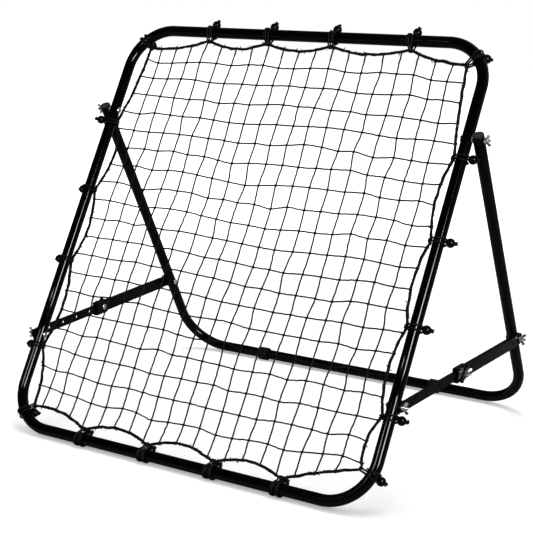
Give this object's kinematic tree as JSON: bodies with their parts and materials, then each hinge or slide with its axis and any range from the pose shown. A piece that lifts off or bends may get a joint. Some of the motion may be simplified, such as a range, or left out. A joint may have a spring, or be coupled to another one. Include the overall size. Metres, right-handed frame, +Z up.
{
  "type": "pitch back rebounder",
  "caption": "Leaning tube-frame rebounder with a laced rope-edged net, a hinged rear stand and telescoping side struts that set its angle for returning thrown or kicked balls.",
  "frame": {"origin": "centre of the bounding box on the ground", "axes": "+X to the right seen from the net's striking side, +Y from the net towards the rear stand, +Z up"},
  "size_m": [1.0426, 0.7901, 0.9047],
  "materials": {
    "powder_coat": "gloss black powder coat",
    "strut_paint": "satin dark grey paint",
    "zinc_plate": "bright zinc plate",
    "nylon": "natural nylon",
    "plug_plastic": "grey moulded plastic",
    "ring_rubber": "matt black rubber",
    "black_plastic": "black moulded plastic",
    "net_twine": "black braided twine",
    "border_rope": "black twisted rope",
    "elastic_cord": "black braided elastic cord",
    "ball_plastic": "gloss black plastic"
  },
  "bodies": {
    "front_frame": {"upper_frame_tube": "powder_coat", "lower_frame_tube": "powder_coat", "pivot_bolt_l": "zinc_plate", "pivot_bolt_r": "zinc_plate", "pivot_washer_l": "nylon", "pivot_washer_r": "nylon", "net_mesh": "net_twine", "net_border_rope": "border_rope", "tie_cords_top": "elastic_cord", "tie_cords_bottom": "elastic_cord", "tie_cords_left": "elastic_cord", "tie_cords_right": "elastic_cord", "tie_cords_corner": "elastic_cord", "tie_balls_top": "ball_plastic", "tie_balls_bottom": "ball_plastic", "tie_balls_left": "ball_plastic", "tie_balls_right": "ball_plastic", "tie_balls_corner": "ball_plastic"},
    "rear_stand": {"rear_stand_tube": "powder_coat", "end_plug_l": "plug_plastic", "end_plug_r": "plug_plastic", "foot_ring_l": "ring_rubber", "foot_ring_r": "ring_rubber"},
    "pivot_nut_r": {"pivot_nut_r": "zinc_plate"},
    "front_clamp_r": {"front_bolt_r": "zinc_plate", "front_saddle_r": "black_plastic", "front_washer_r": "black_plastic"},
    "front_nut_r": {"front_nut_r": "zinc_plate"},
    "strut_bar_r": {"strut_bar_r": "strut_paint"},
    "rear_clamp_r": {"rear_bolt_r": "zinc_plate", "rear_saddle_r": "black_plastic", "rear_washer_r": "black_plastic"},
    "rear_nut_r": {"rear_nut_r": "zinc_plate"},
    "strut_sleeve_r": {"strut_sleeve_r": "strut_paint", "sleeve_collar_r": "black_plastic", "clamp_bolt_r": "zinc_plate", "clamp_plate_r": "black_plastic"},
    "clamp_nut_r": {"clamp_nut_r": "zinc_plate"},
    "pivot_nut_l": {"pivot_nut_l": "zinc_plate"},
    "front_clamp_l": {"front_bolt_l": "zinc_plate", "front_saddle_l": "black_plastic", "front_washer_l": "black_plastic"},
    "front_nut_l": {"front_nut_l": "zinc_plate"},
    "strut_bar_l": {"strut_bar_l": "strut_paint"},
    "rear_clamp_l": {"rear_bolt_l": "zinc_plate", "rear_saddle_l": "black_plastic", "rear_washer_l": "black_plastic"},
    "rear_nut_l": {"rear_nut_l": "zinc_plate"},
    "strut_sleeve_l": {"strut_sleeve_l": "strut_paint", "sleeve_collar_l": "black_plastic", "clamp_bolt_l": "zinc_plate", "clamp_plate_l": "black_plastic"},
    "clamp_nut_l": {"clamp_nut_l": "zinc_plate"}
  },
  "joints": [
    {"name": "stand_fold", "type": "hinge", "parent": "front_frame", "child": "rear_stand", "pos_m": [0, 0.03388, 0.69042], "axis": [1, 0, 0], "range_deg": [-23.3, 0]},
    {"name": "front_rock_r", "type": "hinge", "parent": "front_frame", "child": "front_clamp_r", "pos_m": [0.4625, -0.26673, 0.19873], "axis": [0, 0.5216, 0.8532], "range_deg": [-1.47, 0.15]},
    {"name": "bar_swing_r", "type": "hinge", "parent": "front_clamp_r", "child": "strut_bar_r", "pos_m": [0.4625, -0.26673, 0.19873], "axis": [0.9985, -0.0468, 0.0286], "range_deg": [-9.78, 0.15]},
    {"name": "rear_rock_r", "type": "hinge", "parent": "rear_stand", "child": "rear_clamp_r", "pos_m": [0.4885, 0.28113, 0.20641], "axis": [0, 0.4549, -0.8905], "range_deg": [-0.15, 1.4]},
    {"name": "sleeve_swing_r", "type": "hinge", "parent": "rear_clamp_r", "child": "strut_sleeve_r", "pos_m": [0.4885, 0.28113, 0.20641], "axis": [0.9987, -0.0462, -0.0236], "range_deg": [-0.15, 13.85]},
    {"name": "pivot_nut_turn_r", "type": "hinge", "parent": "front_frame", "child": "pivot_nut_r", "pos_m": [0.4625, 0.03388, 0.69042], "axis": [1, 0, 0], "continuous": true},
    {"name": "front_nut_turn_r", "type": "hinge", "parent": "front_clamp_r", "child": "front_nut_r", "pos_m": [0.4625, -0.26673, 0.19873], "axis": [0.9985, -0.0468, 0.0286], "continuous": true},
    {"name": "rear_nut_turn_r", "type": "hinge", "parent": "rear_clamp_r", "child": "rear_nut_r", "pos_m": [0.4885, 0.28113, 0.20641], "axis": [0.9987, -0.0462, -0.0236], "continuous": true},
    {"name": "clamp_nut_turn_r", "type": "hinge", "parent": "strut_sleeve_r", "child": "clamp_nut_r", "pos_m": [0.49106, -0.0078, 0.20244], "axis": [0.9987, -0.0462, -0.0236], "continuous": true},
    {"name": "front_rock_l", "type": "hinge", "parent": "front_frame", "child": "front_clamp_l", "pos_m": [-0.4625, -0.26673, 0.19873], "axis": [0, -0.5216, -0.8532], "range_deg": [-1.47, 0.15]},
    {"name": "bar_swing_l", "type": "hinge", "parent": "front_clamp_l", "child": "strut_bar_l", "pos_m": [-0.4625, -0.26673, 0.19873], "axis": [0.9985, 0.0468, -0.0286], "range_deg": [-9.78, 0.15]},
    {"name": "rear_rock_l", "type": "hinge", "parent": "rear_stand", "child": "rear_clamp_l", "pos_m": [-0.4885, 0.28113, 0.20641], "axis": [0, -0.4549, 0.8905], "range_deg": [-0.15, 1.4]},
    {"name": "sleeve_swing_l", "type": "hinge", "parent": "rear_clamp_l", "child": "strut_sleeve_l", "pos_m": [-0.4885, 0.28113, 0.20641], "axis": [0.9987, 0.0462, 0.0236], "range_deg": [-0.15, 13.85]},
    {"name": "pivot_nut_turn_l", "type": "hinge", "parent": "front_frame", "child": "pivot_nut_l", "pos_m": [-0.4625, 0.03388, 0.69042], "axis": [1, 0, 0], "continuous": true},
    {"name": "front_nut_turn_l", "type": "hinge", "parent": "front_clamp_l", "child": "front_nut_l", "pos_m": [-0.4625, -0.26673, 0.19873], "axis": [0.9985, 0.0468, -0.0286], "continuous": true},
    {"name": "rear_nut_turn_l", "type": "hinge", "parent": "rear_clamp_l", "child": "rear_nut_l", "pos_m": [-0.4885, 0.28113, 0.20641], "axis": [0.9987, 0.0462, 0.0236], "continuous": true},
    {"name": "clamp_nut_turn_l", "type": "hinge", "parent": "strut_sleeve_l", "child": "clamp_nut_l", "pos_m": [-0.49106, -0.0078, 0.20244], "axis": [0.9987, 0.0462, 0.0236], "continuous": true}
  ],
  "couplings": [
    {"joint": "front_rock_r", "follows": "stand_fold", "ratio": 0.05646},
    {"joint": "bar_swing_r", "follows": "stand_fold", "ratio": 0.41343},
    {"joint": "rear_rock_r", "follows": "stand_fold", "ratio": -0.05372},
    {"joint": "sleeve_swing_r", "follows": "stand_fold", "ratio": -0.58794},
    {"joint": "front_rock_l", "follows": "stand_fold", "ratio": 0.05646},
    {"joint": "bar_swing_l", "follows": "stand_fold", "ratio": 0.41343},
    {"joint": "rear_rock_l", "follows": "stand_fold", "ratio": -0.05372},
    {"joint": "sleeve_swing_l", "follows": "stand_fold", "ratio": -0.58794}
  ]
}
